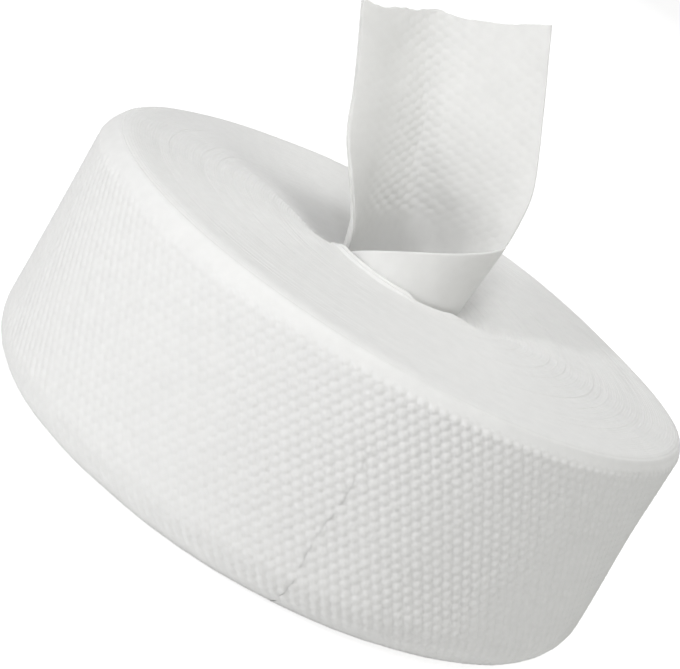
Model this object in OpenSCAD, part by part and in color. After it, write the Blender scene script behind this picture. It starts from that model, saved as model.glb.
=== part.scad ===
// Coreless roll of disposable face towels. One long embossed sheet is wound on
// itself, and its inner end is drawn up out of the centre hole as a funnel that
// opens into a two page channel with a torn top edge. Millimetres, +Z up, origin
// on the roll's axis at the face it stands on.

/* [Roll] */
// Outside diameter of the wound roll
roll_d = 200; // [160:1:260]
// Height of the roll, which is the width of the sheet
roll_h = 80; // [60:1:120]
// Diameter of the coreless centre hole
hole_d = 40; // [34:1:56]
// Radius of the soft top edge
top_round = 7.5; // [4:0.5:18]
// Radius of the soft bottom edge
foot_round = 14; // [4:0.5:18]
// How far the turns round the hole have sunk below the rim
dish = 4.5; // [0:0.5:8]

/* [Turns] */
// Thickness of one turn, seen as the step at each end of the sheet
sheet_t = 1.2; // [0.8:0.1:1.6]
// Turns whose edges stand proud on the top face
turns = 26; // [12:1:30]
// Turns whose edges show on the bottom face, pressed flat by the table
foot_turns = 9; // [6:1:12]
// Height of the proudest turn edge on the top face
ridge_h = 1.5; // [0.4:0.1:2.5]
// Depth of the groove between two turns on the bottom face
groove_d = 0.8; // [0.3:0.1:1.5]
// Direction of the outer end of the sheet, from +X
tail_az = 110; // [60:5:150]

/* [Pulled towel] */
// Height of the towel's high corner above the rim of the hole
pull_h = 88; // [70:1:110]
// How much lower the other corner is
side_drop = 18; // [5:1:35]
// Angle round the hole over which the free edge climbs in front
front_sweep = 156; // [120:1:175]
// Height of the free edge above the rim where it turns upwards
front_rise = 27; // [15:1:35]
// How far the funnel widens as it leaves the hole
flare = 2; // [1:0.1:5]
// Height above the rim by which it has widened
flare_by = 30; // [15:1:45]
// Sideways lean of the towel from the roll's axis
lean = 26.6; // [10:0.1:32]
// Height above the rim where the sideways lean begins
lean_from = 43; // [25:1:50]
// Backward lean of the towel from the roll's axis
lean_back = 15; // [0:0.5:25]
// Height above the rim where the backward lean begins
back_from = 30.5; // [15:0.5:50]
// Half the height over which a lean sets in
lean_soft = 6; // [3:0.5:12]
// Width of the first page, from the high edge to the crease
page_w = 36.8; // [30:0.1:50]
// Width of the far margin, which is folded back flat against the outside
fold_w = 15.5; // [8:0.5:20]
// Angle of the first page from straight back
page_heading = 72.6; // [50:0.1:80]
// Angle that the sheet turns through at the crease
page_turn = 66; // [50:1:90]
// Width over which the crease is bent
crease_w = 14; // [8:1:24]
// Distance round the funnel from its right hand limb to the foot of the crease
crease_foot = 30.2; // [24:0.1:40]
// Height above the rim where the crease has drifted to its own place
crease_by = 44; // [20:1:60]
// Turn of the far border away from the front
edge_flare = 32; // [0:1:50]
// Width of that flared border
flared_w = 16; // [6:1:20]
// Height above the rim where the border is fully flared
flared_by = 38; // [20:1:60]
// Height above the rim where the funnel is fully open
open_by = 52; // [30:1:65]
// Depth of the hollow in the torn top edge
tear_dip = 6; // [0:0.5:10]
// Height of the small waves along the torn edge
tear_wave = 0.7; // [0:0.1:1.5]

/* [Hidden] */

roll_r = roll_d / 2;
hole_r = hole_d / 2;
rim_z = roll_h - dish;

// Flat steps that stand for one full turn, and for the towel's own mesh
seg = 44;
helix_rows = 8;
corner_rows = 8;
page_rows = 9;
across = 19;
walk_steps = 16;

// The sheet's two ends, as directions from +X. The turns run outwards clockwise.
start_az = 360 - front_sweep;
tail_seg = round((start_az - tail_az) / 360 * seg);
land = 0.74;
foot_crowd = 1.6;
quiet_rim = 16;
dish_reach = 34;

// Clearances of the funnel inside the hole, and how far below the rim it starts to open
funnel_gap = 0.7;
funnel_r = hole_r - funnel_gap;
front_r = hole_r + sheet_t;
front_x = hole_r + sheet_t / 2;
front_taper = 0.04;
lift_off = 1;
open_from = 5;
flared_from = 8;
corner_lift = 2;
fold_bend = 3;

function smooth(x) = let (t = min(1, max(0, x))) t * t * (3 - 2 * t);
function ramp(x, soft) = (x + sqrt(x * x + soft * soft)) / 2;
function mix(a, b, t) = a + (b - a) * t;

// Radius of the sheet after winding through an angle, for a face with n turns. The
// first and last turn are one sheet thick. Those between share the rest, and draw
// closer together towards the rim when crowd is over 1.
function full_wind(n) = n * 360 + tail_seg * 360 / seg;
function wound_r(a, n, crowd = 1) =
    let (whole = full_wind(n), inner = hole_r + sheet_t, outer = roll_r - sheet_t)
    a <= 360 ? hole_r + sheet_t * a / 360
    : a >= whole - 360 ? roll_r - sheet_t * (whole - a) / 360
    : mix(outer, inner, pow((whole - 360 - a) / (whole - 720), crowd));

function foot_r(a) = wound_r(a, foot_turns, foot_crowd);

// Height lost to a rounded edge of a given radius
function edge_loss(r, round_r) =
    let (x = min(round_r, max(0, r - roll_r + round_r)))
    round_r - sqrt(round_r * round_r - x * x);
function top_z(r) =
    roll_h - dish * (1 - smooth((r - hole_r) / dish_reach)) - edge_loss(r, top_round);
function foot_z(r) = edge_loss(r, foot_round);

// Turn edges stand proud by a different amount on each turn and die out at the rim
function proud(a, r) =
    ridge_h * (0.62 + 0.26 * sin(1.37 * a) + 0.12 * sin(3.71 * a + 40))
    * smooth((roll_r - r) / quiet_rim);

function around(r, a, z) = [r * cos(start_az - a), r * sin(start_az - a), z];

// Two triangles for the four corners of one facet
function facet(a, b, c, d) = [[a, b, c], [a, c, d]];

module wound_roll() {
    step = 360 / seg;
    top_n = turns * seg + tail_seg;
    foot_n = foot_turns * seg + tail_seg;
    valley = [for (k = [0 : top_n]) let (a = k * step, r = wound_r(a, turns)) around(r, a, top_z(r))];
    crest = [for (k = [0 : top_n - seg])
        let (a = k * step, r = (wound_r(a, turns) + wound_r(a + 360, turns)) / 2)
        around(r, a, top_z(r) + proud(a, r))];
    tread = [for (k = [0 : foot_n]) let (a = k * step, r = foot_r(a)) around(r, a, foot_z(r))];
    edge = [for (k = [0 : foot_n - seg])
        let (a = k * step, r = mix(foot_r(a), foot_r(a + 360), land))
        around(r, a, foot_z(r))];
    groove = [for (k = [0 : foot_n - seg])
        let (a = k * step, r = mix(foot_r(a), foot_r(a + 360), (1 + land) / 2))
        around(r, a, foot_z(r) + groove_d)];
    c0 = len(valley);
    t0 = c0 + len(crest);
    e0 = t0 + len(tread);
    g0 = e0 + len(edge);
    top_faces = [for (k = [0 : top_n - seg - 1]) each concat(
        facet(k, k + 1, c0 + k + 1, c0 + k),
        facet(c0 + k, c0 + k + 1, k + seg + 1, k + seg))];
    foot_faces = [for (k = [0 : foot_n - seg - 1]) each concat(
        facet(t0 + k, e0 + k, e0 + k + 1, t0 + k + 1),
        facet(e0 + k, g0 + k, g0 + k + 1, e0 + k + 1),
        facet(g0 + k, t0 + k + seg, t0 + k + seg + 1, g0 + k + 1))];
    hole_wall = [for (k = [0 : seg - 1]) each facet(k, t0 + k, t0 + k + 1, k + 1)];
    u = top_n - seg;
    w = t0 + foot_n - seg;
    side_wall = [for (k = [0 : seg - 1]) each facet(w + k, u + k, u + k + 1, w + k + 1)];
    inner_end = [[0, c0, seg, t0 + seg, g0, e0, t0]];
    outer_end = [[w, e0 + foot_n - seg, g0 + foot_n - seg, t0 + foot_n, top_n, c0 + u, u]];
    polyhedron(
        points = concat(valley, crest, tread, edge, groove),
        faces = concat(top_faces, foot_faces, hole_wall, side_wall, inner_end, outer_end),
        convexity = 10);
}

// Sheet of the pulled towel. A place on it is u, the distance round the funnel from
// the right hand limb, and h, the height above the rim of the hole.
// The share of a level line that runs along the leaning sheet, and a page's length on it
function along_share(a) =
    (tan(lean_back) * sin(a) - tan(lean) * cos(a)) / norm([tan(lean), tan(lean_back), 1]);
function page_len(width, heading) = width / sqrt(1 - pow(along_share(90 + heading), 2));
first_page = page_len(page_w, page_heading);
reach = first_page + page_len(roll_h - page_w - fold_w, page_heading + page_turn);
fold_from = reach - page_len(fold_w, page_heading + page_turn);
turn_back = front_r * front_sweep * PI / 180;

function opened(h) = smooth((h + open_from) / (open_by + open_from));
function flared(h) = smooth((h - flared_from) / (flared_by - flared_from));
function crease_u(h) = mix(crease_foot, first_page, smooth(h / crease_by));
function funnel_dir(u) = 90 + u / funnel_r * 180 / PI;
function channel_dir(u, h) = 90 + page_heading + page_turn * smooth((u - crease_u(h)) / crease_w + 0.5);
function border_dir(u, h) = edge_flare * flared(h) * min(1, max(0, (u - reach) / flared_w + 1));
function sheet_dir(u, h) = mix(funnel_dir(u), channel_dir(u, h), opened(h)) - border_dir(u, h);
function bend(h, from) = ramp(h - from, lean_soft) - ramp(-from, lean_soft);
function limb_x(h) = front_x + flare * smooth(h / flare_by) - tan(lean) * bend(h, lean_from);
function limb_y(h) = tan(lean_back) * bend(h, back_from);

function sum_to(v, i = 0, s = [0, 0]) = i == len(v) ? s : sum_to(v, i + 1, s + v[i]);
function walk(u, h) = sum_to([for (i = [0 : walk_steps - 1])
    let (a = sheet_dir((i + 0.5) / walk_steps * u, h)) [cos(a), sin(a)] * u / walk_steps]);
function front_arc(u, h) =
    let (r = front_r + front_taper * max(0, h), a = u / r * 180 / PI) [r * cos(a) - r, r * sin(a)];
function sheet_dir_at(u, h) = u < 0 ? 90 + u / front_r * 180 / PI : sheet_dir(u, h);
// One point of the sheet, moved inwards by depth
function on_sheet(u, h, depth) =
    let (p = u < 0 ? front_arc(u, h) : walk(u, h), a = sheet_dir_at(u, h) + 90)
    [limb_x(h) + p[0] + depth * cos(a), limb_y(h) + p[1] + depth * sin(a), rim_z + h];

// Rows across the sheet: along the climbing front edge, round the corner, up the pages
function row_from(t) =
    t <= 1 ? [-turn_back * (1 - t), front_rise * sin(90 * t)]
    : t <= 2 ? [0, front_rise + corner_lift * (t - 1)]
    : [0, mix(front_rise + corner_lift, pull_h, t - 2)];
function row_angle(t) =
    let (flat = -atan(side_drop / reach))
    t <= 1 ? -90 + 8 * t : t <= 2 ? mix(-82, flat, smooth(t - 1)) : flat;
function row_len(t) =
    let (full = norm([reach, side_drop]), low = rim_z - lift_off)
    t <= 1 ? mix(low, roll_h, t) : t <= 2 ? mix(roll_h, full, smooth(t - 1)) : full;
function torn(v) = tear_dip * sin(180 * v) + tear_wave * (sin(1300 * v) + 0.6 * sin(2900 * v + 50));
// The folded margin doubles the sheet on its outside where it stands clear of the hole
function doubled(t, u) = smooth(t - 1) * smooth((u - fold_from) / fold_bend);
function row_point(t, v, inside) =
    let (
        from = row_from(t),
        a = row_angle(t),
        d = row_len(t) * v,
        cut = t > 2 ? torn(v) * pow(t - 2, 3) : 0,
        u = from[0] + d * cos(a)
    )
    on_sheet(u, from[1] + d * sin(a) - cut, inside ? sheet_t : -sheet_t * doubled(t, u));

module pulled_towel() {
    rows = concat(
        [for (i = [0 : helix_rows - 1]) i / helix_rows],
        [for (i = [0 : corner_rows - 1]) 1 + i / corner_rows],
        [for (i = [0 : page_rows]) 2 + i / page_rows]);
    n = len(rows);
    m = across + 1;
    skin = [for (t = rows) each [for (j = [0 : across]) row_point(t, j / across, false)]];
    lining = [for (t = rows) each [for (j = [0 : across]) row_point(t, j / across, true)]];
    q = len(skin);
    sides = [for (i = [0 : n - 2]) each [for (j = [0 : across - 1])
        let (k = i * m + j) each concat(
            facet(k, k + 1, k + m + 1, k + m),
            facet(q + k, q + k + m, q + k + m + 1, q + k + 1))]];
    long_edges = [for (i = [0 : n - 2]) let (k = i * m, e = k + across) each concat(
        facet(k, k + m, q + k + m, q + k),
        facet(e, q + e, q + e + m, e + m))];
    last = (n - 1) * m;
    ends = [for (j = [0 : across - 1]) each concat(
        facet(j, q + j, q + j + 1, j + 1),
        facet(last + j, last + j + 1, q + last + j + 1, q + last + j))];
    polyhedron(points = concat(skin, lining), faces = concat(sides, long_edges, ends), convexity = 10);
}

module towel_roll() {
    color("whitesmoke") union() {
        wound_roll();
        pulled_towel();
    }
}

towel_roll();
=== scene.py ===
"""Looks of a coreless roll of disposable face towels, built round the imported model.

Lengths are in metres in the part's own frame: +Z is the roll's axis, and the origin
is the middle of the face that it stands on. Directions round the roll are degrees
from +X, counted anticlockwise seen from above. The photograph's side faces -Y.
"""

import math

import bpy
import numpy as np
from mathutils import Matrix, Vector


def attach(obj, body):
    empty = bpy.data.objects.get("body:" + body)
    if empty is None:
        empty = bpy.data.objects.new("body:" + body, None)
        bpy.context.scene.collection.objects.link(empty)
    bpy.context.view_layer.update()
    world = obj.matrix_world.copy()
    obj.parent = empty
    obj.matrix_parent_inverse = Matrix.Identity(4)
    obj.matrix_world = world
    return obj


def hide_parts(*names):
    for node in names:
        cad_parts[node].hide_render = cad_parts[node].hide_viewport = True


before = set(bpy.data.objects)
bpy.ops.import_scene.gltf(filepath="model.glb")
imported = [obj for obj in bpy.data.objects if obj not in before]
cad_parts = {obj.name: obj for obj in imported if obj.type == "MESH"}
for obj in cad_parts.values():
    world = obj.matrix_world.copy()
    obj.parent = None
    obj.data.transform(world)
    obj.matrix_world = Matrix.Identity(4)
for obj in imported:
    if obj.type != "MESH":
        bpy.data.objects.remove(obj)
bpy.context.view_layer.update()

MM = 0.001

# The roll, as in the construction model
ROLL_R = 100 * MM
ROLL_H = 80 * MM
HOLE_R = 20 * MM
FOOT_ROUND = 14 * MM
DISH = 4.5 * MM
DISH_REACH = 34 * MM
SHEET_STEP = 1.2 * MM
START_AZ = 204.0
TAIL_AZ = 114.0

# The cloth
CLOTH_T = 0.5 * MM
TURN_PITCH = 0.9 * MM
TOWEL_LEN = 200 * MM
PERFORATION_AZ = 279.6
PEARL_PITCH = 3.46 * MM
PEARL_ROW = 2.67 * MM
PEARL_R = 1.6 * MM
PEARL_H = 0.42 * MM

# The pulled towel, as in the construction model
RIM_Z = ROLL_H - DISH
PULL_H = 88 * MM
SIDE_DROP = 18 * MM
FRONT_SWEEP = 156.0
FRONT_RISE = 27 * MM
FLARE = 2 * MM
FLARE_BY = 30 * MM
LEAN = math.tan(math.radians(26.6))
LEAN_FROM = 43 * MM
LEAN_BACK = math.tan(math.radians(15))
BACK_FROM = 30.5 * MM
LEAN_SOFT = 6 * MM
PAGE_W = 36.8 * MM
FOLD_W = 15.5 * MM
PAGE_HEADING = math.radians(72.6)
PAGE_TURN = math.radians(66)
CREASE_W = 14 * MM
CREASE_FOOT = 30.2 * MM
CREASE_BY = 44 * MM
EDGE_FLARE = math.radians(32)
FLARED_W = 16 * MM
FLARED_FROM = 8 * MM
FLARED_BY = 38 * MM
OPEN_FROM = 5 * MM
OPEN_BY = 52 * MM
FUNNEL_R = HOLE_R - 0.7 * MM
FRONT_R = HOLE_R + SHEET_STEP
FRONT_X = HOLE_R + SHEET_STEP / 2
FRONT_TAPER = 0.04
CORNER_LIFT = 2 * MM
LIFT_OFF = 1 * MM

# The hollow in the top face, left of the hole. It fades out to the right of HOLLOW_RIGHT.
HOLLOW_TIP_X = -70 * MM
HOLLOW_TIP_Y = 11 * MM
HOLLOW_DEPTH = 4.8 * MM
HOLLOW_RIGHT = -22 * MM
HOLLOW_FADE = 34 * MM

# The camera, fitted to the outline of the roll
CAM_ELEVATION = math.radians(15.52)
CAM_ROLL = math.radians(31.1)
CAM_DISTANCE = 815.8 * MM
CAM_LENS = 142.1
CAM_TARGET = Vector((-6.8 * MM, 0, 52.3 * MM))


def smooth(x):
    """Smooth step from 0 to 1."""
    t = np.clip(x, 0, 1)
    return t * t * (3 - 2 * t)


def ramp(x, soft):
    """Zero for negative x and x for positive x, with a soft bend between."""
    return (x + np.sqrt(x * x + soft * soft)) / 2


def mix(a, b, t):
    """Value between a, at t = 0, and b, at t = 1."""
    return a + (b - a) * t


def drift(x, seed):
    """A wandering value between about -1 and 1, which never repeats exactly."""
    rng = np.random.default_rng(seed)
    total = np.zeros_like(np.asarray(x, dtype=float))
    for octave in range(5):
        rate = (0.6 + 0.8 * rng.random()) * 1.7**octave
        total = total + np.sin(rate * x + 6.28 * rng.random()) * 0.62**octave
    return total / 2.1


def pearl(s, w, joined=0):
    """Height from 0 to 1 of the pearl embossing at s along and w across the sheet.

    joined draws each pearl out towards its neighbours in the slanting rows.
    """
    slant = math.atan2(PEARL_ROW, -PEARL_PITCH / 2)
    best = np.full(np.broadcast(s, w).shape, 1e9)
    row = np.floor(w / PEARL_ROW)
    for k in (0, 1):
        line = row + k
        shift = np.mod(line, 2) * 0.5
        col = np.round(s / PEARL_PITCH - shift) + shift
        step_s = s - col * PEARL_PITCH
        step_w = w - line * PEARL_ROW
        drawn = step_s * math.cos(slant) + step_w * math.sin(slant)
        beside = step_s * math.sin(slant) - step_w * math.cos(slant)
        away = (drawn * (1 - joined)) ** 2 + (beside * (1 + joined)) ** 2
        best = np.minimum(best, away)
    return np.clip(1 - best / PEARL_R**2, 0, 1) ** 0.8


def add_mesh(name, points, faces, material):
    """A smooth shaded mesh object from an array of points and one of quads."""
    mesh = bpy.data.meshes.new(name)
    points = np.asarray(points, dtype=np.float32).reshape(-1, 3)
    faces = np.asarray(faces, dtype=np.int32)
    mesh.vertices.add(len(points))
    mesh.vertices.foreach_set("co", points.ravel())
    mesh.loops.add(faces.size)
    mesh.loops.foreach_set("vertex_index", faces.ravel())
    mesh.polygons.add(len(faces))
    mesh.polygons.foreach_set("loop_start", np.arange(len(faces), dtype=np.int32) * faces.shape[1])
    mesh.update(calc_edges=True)
    mesh.validate()
    mesh.shade_smooth()
    mesh.materials.append(material)
    piece = bpy.data.objects.new(name, mesh)
    bpy.context.scene.collection.objects.link(piece)
    return piece


def grid_faces(rows, cols, first=0, flip=False):
    """Quads of a grid of points stored row by row."""
    i, j = np.meshgrid(np.arange(rows - 1), np.arange(cols - 1), indexing="ij")
    a = first + (i * cols + j).ravel()
    quads = np.stack([a, a + 1, a + cols + 1, a + cols], axis=1)
    return quads[:, ::-1] if flip else quads


def dress(piece, replaced=()):
    """Puts a finished piece on the roll's body."""
    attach(piece, "root")
    if replaced:
        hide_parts(*replaced)


# Materials
def cloth_material(name, colour, fuzz, see_through=0):
    """Soft matte nonwoven: cloudy fibre density, fine crossed fibres, and a faint sheen.

    see_through is the share of the light that a single layer lets pass, where the sheet
    has left the funnel. In the funnel, its layers lie on each other and let less pass.
    """
    material = bpy.data.materials.new(name)
    material.use_nodes = True
    nodes = material.node_tree.nodes
    links = material.node_tree.links
    shader = nodes["Principled BSDF"]
    shader.inputs["Roughness"].default_value = 0.92
    shader.inputs["Specular IOR Level"].default_value = 0.18
    shader.inputs["Sheen Weight"].default_value = 0.25
    shader.inputs["Sheen Roughness"].default_value = 0.6
    place = nodes.new("ShaderNodeTexCoord")

    clouds = nodes.new("ShaderNodeTexNoise")
    clouds.inputs["Scale"].default_value = 260
    clouds.inputs["Detail"].default_value = 3
    links.new(place.outputs["Object"], clouds.inputs["Vector"])
    tint = nodes.new("ShaderNodeValToRGB")
    tint.color_ramp.elements[0].position = 0.3
    tint.color_ramp.elements[1].position = 0.7
    tint.color_ramp.elements[0].color = [*(c * 0.965 for c in colour), 1]
    tint.color_ramp.elements[1].color = [*colour, 1]
    links.new(clouds.outputs["Fac"], tint.inputs["Fac"])
    links.new(tint.outputs["Color"], shader.inputs["Base Color"])

    fibres = nodes.new("ShaderNodeTexNoise")
    fibres.inputs["Scale"].default_value = 2600
    fibres.inputs["Detail"].default_value = 4
    fibres.inputs["Roughness"].default_value = 0.65
    fibres.inputs["Distortion"].default_value = 1.6
    links.new(place.outputs["Object"], fibres.inputs["Vector"])
    bump = nodes.new("ShaderNodeBump")
    bump.inputs["Strength"].default_value = fuzz
    bump.inputs["Distance"].default_value = 0.12 * MM
    links.new(fibres.outputs["Fac"], bump.inputs["Height"])
    links.new(bump.outputs["Normal"], shader.inputs["Normal"])
    if see_through:
        passed = nodes.new("ShaderNodeBsdfTranslucent")
        both = nodes.new("ShaderNodeMixShader")
        parts = nodes.new("ShaderNodeSeparateXYZ")
        layers = nodes.new("ShaderNodeMapRange")
        layers.interpolation_type = "SMOOTHSTEP"
        layers.inputs["From Min"].default_value = RIM_Z
        layers.inputs["From Max"].default_value = RIM_Z + 36 * MM
        layers.inputs["To Min"].default_value = see_through / 4
        layers.inputs["To Max"].default_value = see_through
        links.new(place.outputs["Object"], parts.inputs["Vector"])
        links.new(parts.outputs["Z"], layers.inputs["Value"])
        links.new(layers.outputs["Result"], both.inputs["Fac"])
        links.new(tint.outputs["Color"], passed.inputs["Color"])
        links.new(shader.outputs["BSDF"], both.inputs[1])
        links.new(passed.outputs["BSDF"], both.inputs[2])
        links.new(both.outputs["Shader"], nodes["Material Output"].inputs["Surface"])
    return material


cloth = cloth_material("towel_cloth_face", (0.90, 0.90, 0.89), 0.35)
turn_edges = cloth_material("towel_cloth_edges", (0.89, 0.89, 0.88), 0.5)
# The pulled towel is the same cloth as the roll. Its paler colour here is painted light, which
# brightens its shaded folds and pages.
thin_cloth_painted_paler = cloth_material("towel_cloth_single_painted_paler", (0.975, 0.975, 0.965), 0.3, see_through=0.42)


# Outer turn of the roll
FOOT_ROWS = 42
WALL_ROWS = 118
TOP_ROWS = 30
COL_STEP = 0.5 * MM
TOP_WRAP = math.radians(64)
TOP_LAST = 96.5 * MM
DASH_PITCH = 11 * MM
TIE_LEN = 1.5 * MM
PERFORATED_TO = 56 * MM
FLOOR_GAP = 0.05 * MM


def near_az(az, middle, half):
    """1 at a direction, falling to 0 at half degrees to either side."""
    return smooth(1 - np.abs(np.mod(az - middle + 180, 360) - 180) / half)


def top_round(az):
    """Radius of the soft top edge: sharper at the right, pressed rounder behind."""
    behind = 9 * near_az(az, 38, 45) + 9 * near_az(az, 140, 60)
    return (5 + 3.5 * near_az(az, 225, 110) + behind) * MM


def foot_round(az):
    """Radius of the soft bottom edge, which is rounder at the right of the front."""
    return FOOT_ROUND + 2.6 * MM * near_az(az, 315, 55)


def edge_loss(r, round_r):
    """Height lost to a rounded edge."""
    x = np.clip(r - ROLL_R + round_r, 0, round_r)
    return round_r - np.sqrt(round_r**2 - x**2)


def sunken(r, az):
    """Depth of the soft hollow that the pulled towel leaves at the left of the hole."""
    x = r * np.cos(np.radians(az)) - HOLLOW_TIP_X
    y = r * np.sin(np.radians(az)) - HOLLOW_TIP_Y
    bearing = np.degrees(np.arctan2(y, x))
    near = np.clip((bearing + 20) / 62, 0, 1)
    across = (1 - (1 - near) ** 1.7) * (1 - smooth((bearing - 44) / 50))
    beyond = 1 - smooth((x + HOLLOW_TIP_X - HOLLOW_RIGHT) / HOLLOW_FADE)
    inside = smooth((ROLL_R - r) / (30 * MM))
    return HOLLOW_DEPTH * across * beyond * smooth(np.hypot(x, y) / (40 * MM)) * inside


def top_z(r, az):
    """Level of the top face, whose dish is pushed nearly flat in front of the hole."""
    turned = np.mod(az, 360)
    raised = smooth((turned - 184) / 34) * (1 - smooth((turned - 322) / 52))
    dish = DISH * (1 - 0.8 * raised) * (1 - smooth((r - HOLE_R) / DISH_REACH))
    return ROLL_H - dish - sunken(r, az) - edge_loss(r, top_round(az))


def outer_radius(az):
    """Radius of the outer turn, which ends in a step at the tail."""
    return ROLL_R - SHEET_STEP * (az - TAIL_AZ) / 360


def top_edge_radius(az):
    """Where the outer towel's edge lies on the top face, closed softly over the tail."""
    share = np.mod(az - TAIL_AZ, 360) / 360
    wound = share - smooth((share - 0.97) / 0.03)
    return ROLL_R - SHEET_STEP * wound - top_round(az) * (1 - math.cos(TOP_WRAP))


def side_profile(az):
    """Run, inset, height and lean of the wound side, row by row, at each direction.

    Run is the distance along the cloth from the foot, and inset is how far a row lies
    inside the outer radius. Lean is the slope of the outward normal.
    """
    soft = top_round(az)[None, :]
    low = foot_round(az)[None, :]
    quarter = math.pi / 2
    foot = np.linspace(0, quarter, FOOT_ROWS, endpoint=False)[:, None] + 0 * soft
    wall = np.linspace(0, 1, WALL_ROWS, endpoint=False)[:, None] * (ROLL_H - low - soft)
    top = np.linspace(0, TOP_WRAP, TOP_ROWS)[:, None] + 0 * soft
    rim = ROLL_H - soft + soft * np.sin(top)
    height = np.concatenate([low * (1 - np.cos(foot)), low + wall, rim])
    inset = np.concatenate([low * (1 - np.sin(foot)), 0 * wall, soft * (1 - np.cos(top))])
    lean = np.concatenate([foot - quarter, 0 * wall, top])
    # The rows of pearls count from the middle of the side
    below = (quarter - foot) * low + ROLL_H / 2 - low
    run = np.concatenate([-below, low + wall - ROLL_H / 2, ROLL_H / 2 - soft + soft * top])
    run = run + ROLL_H / 2 + FOOT_ROUND * (quarter - 1)
    # The right end of the side leans out a little towards the foot
    leaning = 1.6 * MM * near_az(az, 352, 50)[None, :]
    leaning = leaning * (1 - smooth((height - 12 * MM) / (44 * MM)))
    inset = inset - leaning * smooth(height / (16 * MM))
    return run, inset, height, lean


def perforation_path(run):
    """Sideways wander of a line of perforation, which steps between the pearls."""
    step = np.mod(run / PEARL_ROW, 2)
    zig = (np.abs(step - 1) - 0.5) * 0.35 * MM
    return zig + 0.7 * MM * drift(run / (7 * MM), 5)


def outer_towel(name, az_from, az_to, torn_from, torn_to):
    """One stretch of the outer turn. torn_from and torn_to are 1 at a perforated end."""
    cols = int(math.radians(az_to - az_from) * ROLL_R / COL_STEP) + 2
    az = np.linspace(az_from, az_to, cols)
    run, inset, height, lean = side_profile(az)
    near_from = np.radians(az - az_from)[None, :] * ROLL_R
    near_to = np.radians(az_to - az)[None, :] * ROLL_R
    s = np.radians(az)[None, :] * ROLL_R + 0 * run
    zig = perforation_path(run)
    s = s + zig * torn_from * (1 - smooth(near_from / (5 * MM)))
    s = s + zig * torn_to * (1 - smooth(near_to / (5 * MM)))
    turned = s / ROLL_R

    # The pearls fade where the sheet is drawn over the soft edges
    crown = 1 - smooth((lean - math.radians(4)) / math.radians(30))
    foot = 1 - smooth((-lean - math.radians(24)) / math.radians(45))
    patchy = 0.84 + 0.16 * drift(run * 38 + np.sin(turned * 3) * 2, 11)
    around = s + 0.35 * MM * drift(run * 60, 3)
    across = run + 0.25 * MM * drift(turned * 7, 4)
    taller = 1 + 0.7 * near_az(az, 300, 55)[None, :]
    raised = PEARL_H * taller * crown * foot * patchy * pearl(around, across, joined=0.2)
    # Slow waves of the soft side, and the rim's slightly raised edge, which turns under
    raised = raised + 0.20 * MM * drift(turned * 5 + run * 22, 21) * crown
    raised = raised + 0.10 * MM * drift(turned * 17 - run * 40, 22) * crown
    raised = raised + 0.30 * MM * smooth((lean - math.radians(36)) / math.radians(18))
    raised = raised - 0.75 * MM * smooth((lean - math.radians(57)) / math.radians(7))
    # A line of perforation is a row of cuts held by short ties, deepest low on the side
    cut = smooth((np.mod(run, DASH_PITCH) - TIE_LEN) / TIE_LEN)
    low_down = 1 - smooth((run - PERFORATED_TO) / (16 * MM))
    depth = cut * (0.75 + 0.25 * drift(run * 240, 6)) * low_down
    raised = raised - 0.12 * MM * depth * torn_to * (1 - smooth(near_to / (0.8 * MM)))
    raised = raised + 0.10 * MM * depth * torn_from * (1 - smooth(near_from / (1.2 * MM)))

    radius = outer_radius(az)[None, :] - inset + raised * np.cos(lean)
    z = np.maximum(height + raised * np.sin(lean), FLOOR_GAP)
    points = np.stack([radius * np.cos(turned), radius * np.sin(turned), z], axis=-1)
    return add_mesh(name, points, grid_faces(*run.shape), cloth)


towel_turn = math.degrees(TOWEL_LEN / ROLL_R)
perforations = [PERFORATION_AZ - towel_turn, PERFORATION_AZ, PERFORATION_AZ + towel_turn]
outer_ends = [TAIL_AZ, *perforations, TAIL_AZ + 360]
last_towel = len(outer_ends) - 2
for number in range(last_towel + 1):
    towel_piece = outer_towel(
        f"outer_towel_{number + 1}", outer_ends[number], outer_ends[number + 1],
        torn_from=int(number > 0), torn_to=int(number < last_towel))
    dress(towel_piece, ["towel_roll"] if number == 0 else [])


# Ends of the turns
TOP_TURN_COLS = 300
FOOT_TURN_COLS = 180
TOP_GROOVE = 0.14 * MM
FOOT_GROOVE = 0.3 * MM
TURN_OVERLAP = 0.6 * MM
LIP_H = 1.3 * MM


def hole_push(r, az):
    """How far the turns stand back from the pulled towel round the front of the hole."""
    gap = 2.2 * near_az(az, 222, 45) + 1.9 * near_az(az, 295, 75) + 1.2 * near_az(az, 343, 16)
    return gap * MM * np.exp(-np.maximum(r - HOLE_R, 0) / (9 * MM))


def top_shift(r, az):
    """Moves the turns of the top face to fit between the hole and the outer towel's edge."""
    spread = (top_edge_radius(az) + TURN_OVERLAP - HOLE_R) / (TOP_LAST - HOLE_R)
    return (r - HOLE_R) * (spread - 1) + hole_push(r, az)


def no_shift(r, az):
    """Leaves the turns of the bottom face where they are wound."""
    return 0 * r


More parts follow.
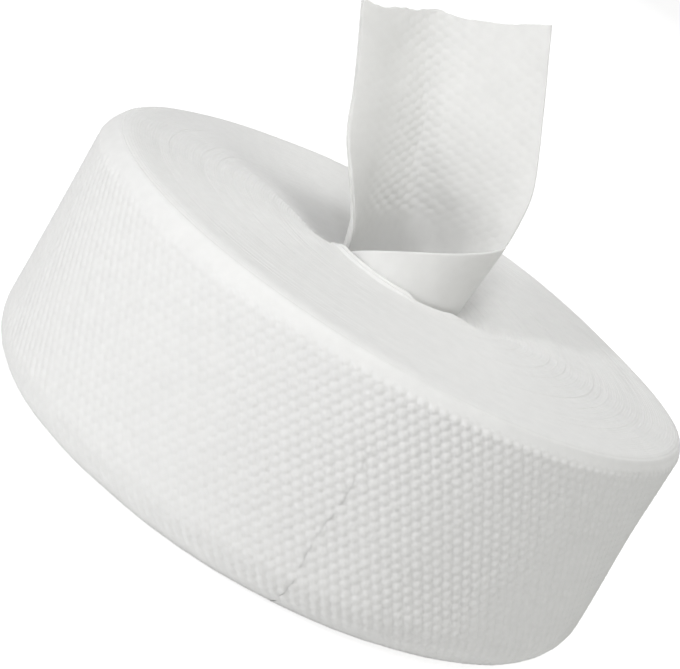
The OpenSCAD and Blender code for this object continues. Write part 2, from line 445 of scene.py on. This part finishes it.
def spiral_piece(name, r_last, cols, height, sink, offsets, shift, flip):
    """The edges of all turns on one face, as one spiral of narrow crowned bands.

    offsets are the places across a turn, from 0 to 1, that get a line of points. The
    first is the groove, which lies lower by sink, or higher where sink is negative.
    height(r, az, wind) is the level of the turn's edge, and shift(r, az) moves it out.
    """
    turns = (r_last - HOLE_R) / TURN_PITCH
    count = int(turns * cols)
    wind = np.arange(count + 1) / cols
    az = START_AZ - 360 * wind
    turned = np.radians(az)
    lines = []
    for share in offsets:
        r = HOLE_R + TURN_PITCH * (wind + share)
        moved = r + shift(r, az)
        z = height(moved, az, wind)
        if share == 0:
            inner = height(moved, az, wind - 1)
            z = (np.minimum(z, inner) if sink > 0 else np.maximum(z, inner)) - sink
        lines.append(np.stack([moved * np.cos(turned), moved * np.sin(turned), z], axis=-1))
    size = count + 1
    span = np.arange(count - cols)
    quads = []
    for m in range(len(offsets)):
        a = m * size + span
        b = (m + 1) * size + span if m + 1 < len(offsets) else span + cols
        quads.append(np.stack([a, b, b + 1, a + 1], axis=1))
    faces = np.concatenate(quads)
    return add_mesh(name, np.concatenate(lines), faces[:, ::-1] if flip else faces, turn_edges)


def top_edge_height(r, az, wind):
    """Level of one turn's edge on the top face."""
    # Some turns stand proud in groups, more so at the left and right than in front
    sideways = 0.15 + 0.85 * np.abs(np.cos(np.radians(az - 12))) ** 1.5
    patches = 0.6 + 0.4 * drift(az * 0.06 + wind * 0.05, 34)
    groups = drift(wind * 2.3, 33) * 0.26 * MM
    wander = drift(wind * 5.3, 31) * 0.10 * MM
    calm = smooth((top_edge_radius(az) - 1 * MM - r) / (10 * MM))
    rolling = drift(r / (7 * MM), 36) * 0.22 * MM
    # Two inner turns stand proud as a lip on the near left of the hole
    on_left = smooth((np.mod(az, 360) - 196) / 10) * (1 - smooth((np.mod(az, 360) - 278) / 12))
    out = r - HOLE_R
    lip = np.exp(-(((out - 2.9 * MM) / (0.6 * MM)) ** 2))
    lip = lip - 0.5 * np.exp(-(((out - 3.8 * MM) / (0.35 * MM)) ** 2))
    lip = lip + 0.7 * np.exp(-(((out - 4.6 * MM) / (0.6 * MM)) ** 2))
    # The last turn is tucked under the edge of the outer towel
    tucked = 0.1 * MM * smooth((r - top_edge_radius(az) + 0.5 * MM) / (1 * MM))
    raised = (groups + wander) * sideways * patches * calm + rolling * calm
    return top_z(r, az) + raised + LIP_H * lip * on_left - tucked


def foot_edge_height(r, az, wind):
    """Level of one turn's edge on the face that the roll stands on."""
    uneven = 0.12 * MM * (1 + drift(wind * 5.1, 41)) / 2
    return edge_loss(r, foot_round(az)) + FLOOR_GAP + uneven


turn_ends_top = spiral_piece(
    "turn_ends_top", TOP_LAST + TURN_PITCH, TOP_TURN_COLS, top_edge_height, TOP_GROOVE,
    (0, 0.3, 0.75), top_shift, flip=True)
dress(turn_ends_top)
turn_ends_foot = spiral_piece(
    "turn_ends_foot", ROLL_R - FOOT_ROUND + TURN_OVERLAP, FOOT_TURN_COLS, foot_edge_height,
    -FOOT_GROOVE, (0, 0.5), no_shift, flip=False)
dress(turn_ends_foot)


def hole_lining():
    """The inner face of the wound turns, seen down the hole."""
    rows = 90
    cols = 200
    up = np.linspace(0, 1, rows)
    round_hole = np.linspace(START_AZ - 360, START_AZ, cols)
    share, a = np.meshgrid(up, round_hole, indexing="ij")
    r = HOLE_R + TURN_PITCH * (START_AZ - a) / 360
    z = mix(0.3 * MM, top_z(r, a), share)
    r = r + hole_push(r, a) * smooth((z - 30 * MM) / (40 * MM))
    r = r - 0.2 * MM * pearl(np.radians(a) * HOLE_R, z)
    points = np.stack([r * np.cos(np.radians(a)), r * np.sin(np.radians(a)), z], axis=-1)
    return add_mesh("hole_lining", points, grid_faces(rows, cols, flip=True), cloth)


dress(hole_lining())


# The towel drawn up out of the hole
TEAR_DIP = 4.4 * MM
FOLD_BEND = 0.6 * MM
FOLD_COLS = 26
TOWEL_PEARL_H = 0.25 * MM
ALONG = np.array([-LEAN, LEAN_BACK, 1]) / math.sqrt(LEAN**2 + LEAN_BACK**2 + 1)


def along_share(heading):
    """Share of a level line that runs along the leaning sheet."""
    return np.cos(heading) * ALONG[0] + np.sin(heading) * ALONG[1]


def page_len(width, heading):
    """Length of a page along a level line, for its true width."""
    return width / math.sqrt(1 - along_share(math.pi / 2 + heading) ** 2)


FIRST_PAGE = page_len(PAGE_W, PAGE_HEADING)
REACH = FIRST_PAGE + page_len(ROLL_H - PAGE_W - FOLD_W, PAGE_HEADING + PAGE_TURN)
TURN_BACK = FRONT_R * math.radians(FRONT_SWEEP)


def channel_dir(u, h):
    """Direction of the level line where the sheet is two pages with a crease between."""
    crease = mix(CREASE_FOOT, FIRST_PAGE, smooth(h / CREASE_BY))
    # The crease is a broad bend near the torn edge and a sharper one lower down
    width = CREASE_W * mix(0.3, 1.2, smooth((h - 40 * MM) / (45 * MM)))
    return math.pi / 2 + PAGE_HEADING + PAGE_TURN * smooth((u - crease) / width + 0.5)


def sheet_dir(u, h):
    """Direction of the sheet's level line at u along it and h above the hole's rim."""
    opened = smooth((h + OPEN_FROM) / (OPEN_BY + OPEN_FROM))
    flared = smooth((h - FLARED_FROM) / (FLARED_BY - FLARED_FROM))
    border = EDGE_FLARE * flared * np.clip((u - REACH) / FLARED_W + 1, 0, 1)
    return mix(math.pi / 2 + u / FUNNEL_R, channel_dir(u, h), opened) - border


def bend(h, start):
    """Height climbed past a start where a lean sets in softly, 0 at the rim."""
    still = ramp(np.asarray(-start), LEAN_SOFT)
    return ramp(h - start, LEAN_SOFT) - still


def on_sheet(u, h):
    """Points of the sheet and its level normal, which points into the funnel."""
    steps = 40
    share = (np.arange(steps) + 0.5) / steps
    heading = sheet_dir(u[..., None] * share, h[..., None])
    x = np.cos(heading).sum(axis=-1) * u / steps
    y = np.sin(heading).sum(axis=-1) * u / steps
    radius = FRONT_R + FRONT_TAPER * np.maximum(0, h)
    front = u < 0
    x = np.where(front, radius * np.cos(u / radius) - radius, x)
    y = np.where(front, radius * np.sin(u / radius), y)
    inward = np.where(front, u / FRONT_R, sheet_dir(u, h) - math.pi / 2) + math.pi
    normal = np.stack([np.cos(inward), np.sin(inward), np.zeros_like(u)], axis=-1)
    limb_x = FRONT_X + FLARE * smooth(h / FLARE_BY) - LEAN * bend(h, LEAN_FROM)
    limb_y = LEAN_BACK * bend(h, BACK_FROM)
    points = np.stack([limb_x + x, limb_y + y, RIM_Z + h], axis=-1)
    return points, normal


def pulled_rows(t):
    """Start (u, h), slope and length of the line across the sheet, for rows 0 to 3."""
    flat = -math.atan(SIDE_DROP / REACH)
    full = math.hypot(REACH, SIDE_DROP)
    climb = np.clip(t, 0, 1)
    corner = np.clip(t - 1, 0, 1)
    rise = np.clip(t - 2, 0, 1)
    u = -TURN_BACK * (1 - climb)
    h = FRONT_RISE * np.sin(climb * math.pi / 2) + CORNER_LIFT * corner
    h = h + (PULL_H - FRONT_RISE - CORNER_LIFT) * rise
    slope = mix(math.radians(-90) + math.radians(8) * climb, flat, smooth(corner))
    length = mix(RIM_Z - LIFT_OFF, ROLL_H, climb)
    length = mix(length, full, smooth(corner))
    return u, h, slope, length


def torn_edge(v):
    """How far the torn edge lies below the sloping line between the sheet's corners."""
    left = smooth((v - 0.4) / 0.3)
    ragged = (0.16 + 0.34 * left) * MM * drift(v * 20, 51)
    ragged = ragged + (0.05 + 0.1 * left) * MM * drift(v * 90, 52)
    corner = 2.0 * MM * smooth((v - 0.55) / 0.4) - 0.7 * MM * (1 - v)
    return TEAR_DIP * np.sin(math.pi * v) + corner + ragged


def cloth_place(u, h):
    """Distance along and across the cloth itself, for the rows of pearls."""
    table = np.linspace(0, REACH, 200)
    share = along_share(channel_dir(table, np.full_like(table, PULL_H)))
    step = table[1]
    along = np.concatenate([[0], np.cumsum(share[1:] * step)])
    across = np.concatenate([[0], np.cumsum(np.sqrt(1 - share[1:] ** 2) * step)])
    per_h = math.sqrt(LEAN**2 + LEAN_BACK**2 + 1)
    rise = h + (per_h - 1) * ramp(h - BACK_FROM, LEAN_SOFT)
    return rise + np.interp(u, table, along), np.where(u < 0, u, np.interp(u, table, across))


def pulled_towel():
    """The sheet that comes up out of the hole, as a funnel that opens into two pages."""
    t = np.concatenate([
        np.linspace(0, 1, 50, endpoint=False),
        np.linspace(1, 2, 40, endpoint=False),
        np.linspace(2, 3, 140)])
    v = np.linspace(0, 1, 136)
    fold = np.linspace(0, 1, FOLD_COLS + 1)[1:]
    t_g, v_g = np.meshgrid(t, np.concatenate([v, np.ones(FOLD_COLS)]), indexing="ij")
    folded = 0.03 + 0.97 * smooth((t_g - 1.15) / 0.6)
    past = np.concatenate([0 * v, fold])[None, :] * FOLD_W * folded
    u0, h0, slope, length = pulled_rows(t_g)
    cut = torn_edge(v_g) * np.clip(t_g - 2, 0, 1) ** 3
    edge_u = u0 + length * v_g * np.cos(slope)
    edge_h = h0 + length * v_g * np.sin(slope) - cut
    # The far margin turns over in a tight bend and lies back against the outside
    turn = np.clip(past / FOLD_BEND, 0, math.pi)
    back = np.maximum(past - math.pi * FOLD_BEND, 0)
    u = edge_u - back + FOLD_BEND * np.sin(turn)
    h = edge_h + back * np.tan(slope) * (t_g > 1.5)
    points, normal = on_sheet(u, h)
    loose = (0.02 + 0.02 * smooth((h - 20 * MM) / (50 * MM))) * back
    outward = FOLD_BEND * (1 - np.cos(turn)) + loose

    # The pearls are drawn flat where the funnel is tight
    along, across = cloth_place(u, h)
    taut = 0.15 + 0.85 * smooth((h + np.maximum(u, 0) * 0.3 - 10 * MM) / (24 * MM))
    near_crease = 0.35 + 0.95 * np.exp(-(((across - PAGE_W - 3 * MM) / (12 * MM)) ** 2))
    bump = pearl(along, across) * taut * near_crease
    wave = 0.35 * MM * drift(h * 60 + u * 50, 61) + 0.15 * MM * drift(h * 150 - u * 100, 62)
    wave = wave * smooth((h - 4 * MM) / (20 * MM))
    middle = points + normal * (wave + CLOTH_T / 2 - outward)[..., None]
    # The sheet's faces change sides as the margin turns over
    facing = normal * np.cos(turn)[..., None]
    tangent = np.stack([-normal[..., 1], normal[..., 0], 0 * u], axis=-1)
    facing = facing + tangent * np.sin(turn)[..., None]
    half = CLOTH_T / 2 + TOWEL_PEARL_H * bump
    outside = middle - facing * half[..., None]
    inside = middle + facing * half[..., None]
    rows, cols = u.shape
    size = rows * cols
    i = np.arange(rows - 1) * cols
    j = np.arange(cols - 1)
    last = size - cols
    far = i + cols - 1
    border = [
        np.stack([i, i + cols, size + i + cols, size + i], axis=1),
        np.stack([far, size + far, size + far + cols, far + cols], axis=1),
        np.stack([j, size + j, size + j + 1, j + 1], axis=1),
        np.stack([last + j, last + j + 1, size + last + j + 1, size + last + j], axis=1),
    ]
    sides = [grid_faces(rows, cols), grid_faces(rows, cols, size, flip=True)]
    faces = np.concatenate(sides + border)
    both = np.concatenate([outside.reshape(-1, 3), inside.reshape(-1, 3)])
    across_step = np.diff(middle, axis=1)[:-1]
    down_step = np.diff(middle, axis=0)[:, :-1]
    area = float(np.linalg.norm(np.cross(across_step, down_step), axis=-1).sum())
    # The sheet takes the paler cloth, whose extra brightness is painted light on its folds and
    # pages.
    piece = add_mesh("pulled_towel", both, faces, thin_cloth_painted_paler)
    # The cut border is shaded by itself, so that it doesn't darken the faces next to it
    soft = np.ones(len(faces), dtype=bool)
    soft[-sum(len(strip) for strip in border):] = False
    piece.data.polygons.foreach_set("use_smooth", soft)
    return piece, area


towel, towel_area = pulled_towel()
dress(towel)


# Floor and backdrop
def floor_material():
    """Pale floor that shows white to the camera and still takes the roll's shadow."""
    material = bpy.data.materials.new("pale_floor")
    material.use_nodes = True
    nodes = material.node_tree.nodes
    links = material.node_tree.links
    nodes.clear()
    out = nodes.new("ShaderNodeOutputMaterial")
    diffuse = nodes.new("ShaderNodeBsdfDiffuse")
    diffuse.inputs["Color"].default_value = (0.8, 0.8, 0.8, 1)
    glow = nodes.new("ShaderNodeEmission")
    glow.inputs["Color"].default_value = (1, 1, 1, 1)
    seen = nodes.new("ShaderNodeLightPath")
    amount = nodes.new("ShaderNodeMath")
    amount.operation = "MULTIPLY_ADD"
    amount.inputs[1].default_value = 0.6
    amount.inputs[2].default_value = 0.12
    links.new(seen.outputs["Is Camera Ray"], amount.inputs[0])
    links.new(amount.outputs[0], glow.inputs["Strength"])
    both = nodes.new("ShaderNodeAddShader")
    links.new(diffuse.outputs[0], both.inputs[0])
    links.new(glow.outputs[0], both.inputs[1])
    links.new(both.outputs[0], out.inputs["Surface"])
    return material


FLOOR_HALF = 4
floor_points = np.array([(-1, -1, 0), (1, -1, 0), (1, 1, 0), (-1, 1, 0)]) * FLOOR_HALF
floor = add_mesh("floor", floor_points, [[0, 1, 2, 3]], floor_material())


# Light
ROLL_MIDDLE = 60 * MM
TOWEL_MIDDLE = 115 * MM


def backdrop(level):
    """Even light from all round at one level, seen as plain white by the camera."""
    world = bpy.data.worlds.new("studio")
    bpy.context.scene.world = world
    world.use_nodes = True
    nodes = world.node_tree.nodes
    links = world.node_tree.links
    nodes.clear()
    out = nodes.new("ShaderNodeOutputWorld")
    plain = nodes.new("ShaderNodeBackground")
    plain.inputs["Strength"].default_value = level
    white = nodes.new("ShaderNodeBackground")
    white.inputs["Strength"].default_value = 1
    seen = nodes.new("ShaderNodeLightPath")
    swap = nodes.new("ShaderNodeMixShader")
    links.new(seen.outputs["Is Camera Ray"], swap.inputs["Fac"])
    links.new(plain.outputs[0], swap.inputs[1])
    links.new(white.outputs[0], swap.inputs[2])
    links.new(swap.outputs[0], out.inputs["Surface"])


def aim(lamp, az, elevation, distance, height):
    """Sets a lamp in a direction from a point on the roll's axis, and faces it there."""
    holder = bpy.data.objects.new(lamp.name, lamp)
    bpy.context.scene.collection.objects.link(holder)
    a = math.radians(az)
    e = math.radians(elevation)
    back = Vector((math.cos(a) * math.cos(e), math.sin(a) * math.cos(e), math.sin(e)))
    holder.location = Vector((0, 0, height)) + back * distance
    holder.rotation_euler = (-back).to_track_quat("-Z", "Y").to_euler()


def soft_box(name, az, elevation, distance, size, watts, blue=1):
    """A square area lamp that faces the roll from a direction."""
    lamp = bpy.data.lights.new(name, "AREA")
    lamp.color = (1, 1, blue)
    lamp.size = size
    lamp.energy = watts
    aim(lamp, az, elevation, distance, ROLL_MIDDLE)


def narrow_lamp(name, az, elevation, distance, angle, watts):
    """A lamp with a narrow soft-edged beam, which falls on the pulled towel."""
    lamp = bpy.data.lights.new(name, "SPOT")
    lamp.spot_size = math.radians(angle)
    lamp.spot_blend = 1
    lamp.shadow_soft_size = 0.08
    lamp.energy = watts
    aim(lamp, az, elevation, distance, TOWEL_MIDDLE)


backdrop(0.3)
soft_box("key", 225, 22, 1.4, 0.2, 4.3)
soft_box("low left", 212, 3, 1.4, 0.15, 1.9)
soft_box("fill", 335, 33, 1.5, 0.9, 2.3, blue=0.9)
soft_box("overhead", 258, 67, 1.3, 0.5, 6.7)
soft_box("back", 85, 30, 1.5, 0.8, 4)
narrow_lamp("towel lamp", 262, 34, 1.4, 6, 19)


# Camera
def add_camera():
    """Looks at the roll from the photograph's side, rolled as the photograph is."""
    camera = bpy.data.objects.new("camera", bpy.data.cameras.new("camera"))
    bpy.context.scene.collection.objects.link(camera)
    camera.data.lens = CAM_LENS
    camera.data.sensor_width = 36
    camera.data.clip_start = 0.05
    camera.data.clip_end = 50
    back = Vector((0, -math.cos(CAM_ELEVATION), math.sin(CAM_ELEVATION)))
    level = (-back).to_track_quat("-Z", "Y").to_matrix()
    tilt = Matrix.Rotation(CAM_ROLL, 3, "Z")
    place = Matrix.Translation(CAM_TARGET + back * CAM_DISTANCE)
    camera.matrix_world = place @ (level @ tilt).to_4x4()
    bpy.context.scene.camera = camera


add_camera()
bpy.context.scene.view_settings.view_transform = "Standard"
